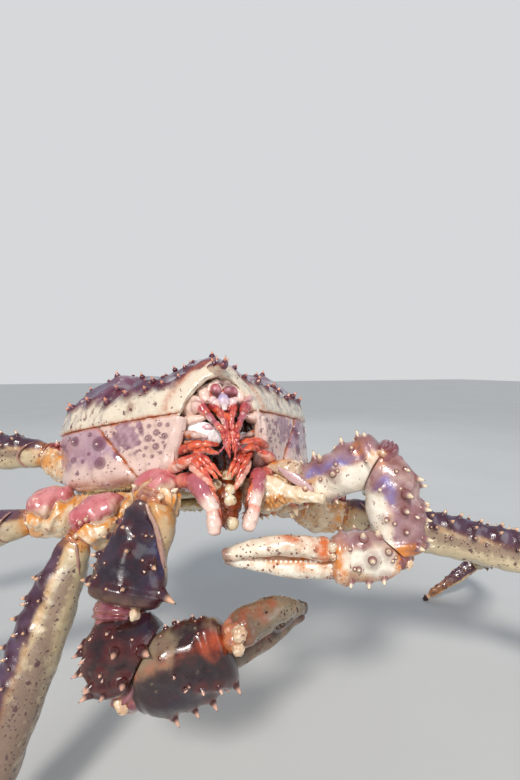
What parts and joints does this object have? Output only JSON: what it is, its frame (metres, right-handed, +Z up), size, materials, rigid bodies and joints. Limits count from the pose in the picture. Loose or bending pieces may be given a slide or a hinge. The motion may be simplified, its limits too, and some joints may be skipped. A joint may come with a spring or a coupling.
{
  "type": "red king crab",
  "caption": "Life-size red king crab standing on its walking legs, one claw hanging and the other folded before its mouth.",
  "frame": {"origin": "on the floor, under the middle of the crab's bounding box", "axes": "+Z up; the crab faces -Y, so +X is its own left"},
  "size_m": [0.9504, 0.4806, 0.2984],
  "materials": {
    "back_shell": "wet dark burgundy shell fading to mottled cream at its rim, with peach spine tips",
    "side_shell": "wet salmon and lilac shell with ringed purple spots and orange seams",
    "underside": "wet cream shell with rust stains",
    "limb_root": "wet pink and cream joint shell with orange and yellow folds",
    "leg_shell": "dark burgundy above and speckled cream below, with peach spine tips",
    "claw_shell": "dark purple and blue-violet shell with cream sides and peach spine tips",
    "finger": "cream shell with dark dots, orange joint and pale teeth",
    "mouthparts": "wet red and orange shell with white tips",
    "mandible": "smooth wet white shell",
    "eye": "glossy pink-purple eye"
  },
  "bodies": {
    "root": {"carapace": "back_shell", "right_front_side_plate": "side_shell", "right_rear_side_plate": "side_shell", "left_front_side_plate": "side_shell", "left_rear_side_plate": "side_shell", "thorax": "underside", "abdomen": "underside", "right_claw_base": "limb_root", "right_claw_merus": "claw_shell", "right_claw_carpus": "claw_shell", "right_claw_palm": "claw_shell", "right_claw_finger": "finger", "right_leg1_base": "limb_root", "right_leg1_merus": "leg_shell", "right_leg1_carpus": "leg_shell", "right_leg1_propodus": "leg_shell", "right_leg1_dactyl": "leg_shell", "right_leg2_base": "limb_root", "right_leg2_merus": "leg_shell", "right_leg2_carpus": "leg_shell", "right_leg2_propodus": "leg_shell", "right_leg2_dactyl": "leg_shell", "right_leg3_base": "limb_root", "right_leg3_merus": "leg_shell", "right_leg3_carpus": "leg_shell", "right_leg3_propodus": "leg_shell", "right_leg3_dactyl": "leg_shell", "left_claw_base": "limb_root", "left_claw_merus": "claw_shell", "left_claw_carpus": "claw_shell", "left_claw_palm": "claw_shell", "left_claw_finger": "finger", "left_leg1_base": "limb_root", "left_leg1_merus": "leg_shell", "left_leg1_carpus": "leg_shell", "left_leg1_propodus": "leg_shell", "left_leg1_dactyl": "leg_shell", "left_leg2_base": "limb_root", "left_leg2_merus": "leg_shell", "left_leg2_carpus": "leg_shell", "left_leg2_propodus": "leg_shell", "left_leg2_dactyl": "leg_shell", "left_leg3_base": "limb_root", "left_leg3_merus": "leg_shell", "left_leg3_carpus": "leg_shell", "left_leg3_propodus": "leg_shell", "left_leg3_dactyl": "leg_shell", "right_eye": "eye", "right_antennule": "mouthparts", "right_antenna": "mouthparts", "right_mandible": "mandible", "right_small_mouthpart": "mouthparts", "right_large_mouthpart": "mouthparts", "left_eye": "eye", "left_antennule": "mouthparts", "left_antenna": "mouthparts", "left_mandible": "mandible", "left_small_mouthpart": "mouthparts", "left_large_mouthpart": "mouthparts"}
  },
  "joints": []
}
